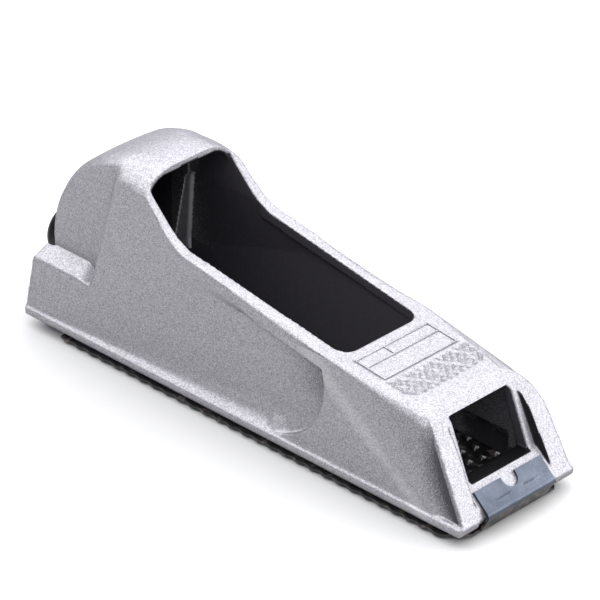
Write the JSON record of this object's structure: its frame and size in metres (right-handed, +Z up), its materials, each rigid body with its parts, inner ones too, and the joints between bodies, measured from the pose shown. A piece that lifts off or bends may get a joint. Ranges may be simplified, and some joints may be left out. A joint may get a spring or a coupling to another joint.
{
  "type": "rasp plane",
  "caption": "Pocket rasp plane: die-cast body with a palm hump, open well and thumb pad over a hooked, perforated steel blade pulled tight by a domed heel screw.",
  "frame": {"origin": "middle of the tool's length and width, on the plane of the tooth tips it stands on", "axes": "+X forward to the nose, +Y to the left side, +Z up"},
  "size_m": [0.163, 0.0424, 0.0579],
  "materials": {
    "silver_paint": "fine metallic silver, satin",
    "blued_steel": "blue-grey hardened steel",
    "black_steel": "black oxide, satin",
    "plain_steel": "plain zinc-bright steel"
  },
  "bodies": {
    "casting": {"body_casting": "silver_paint", "rasp_blade": "blued_steel", "head_washer": "plain_steel"},
    "screw": {"tension_screw": "black_steel", "retaining_clip": "plain_steel"},
    "shoe": {"tension_shoe": "plain_steel", "screw_nut": "plain_steel"}
  },
  "joints": [
    {"name": "screw_turn", "type": "hinge", "parent": "casting", "child": "screw", "pos_m": [-0.0737, 0, 0.0184], "axis": [-1, 0, 0], "range_deg": [0, 1350]},
    {"name": "shoe_slide", "type": "slide", "parent": "casting", "child": "shoe", "axis": [1, 0, 0], "range_m": [0, 0.003]}
  ],
  "couplings": [
    {"joint": "screw_turn", "follows": "shoe_slide", "rad_per_m": 7854}
  ]
}
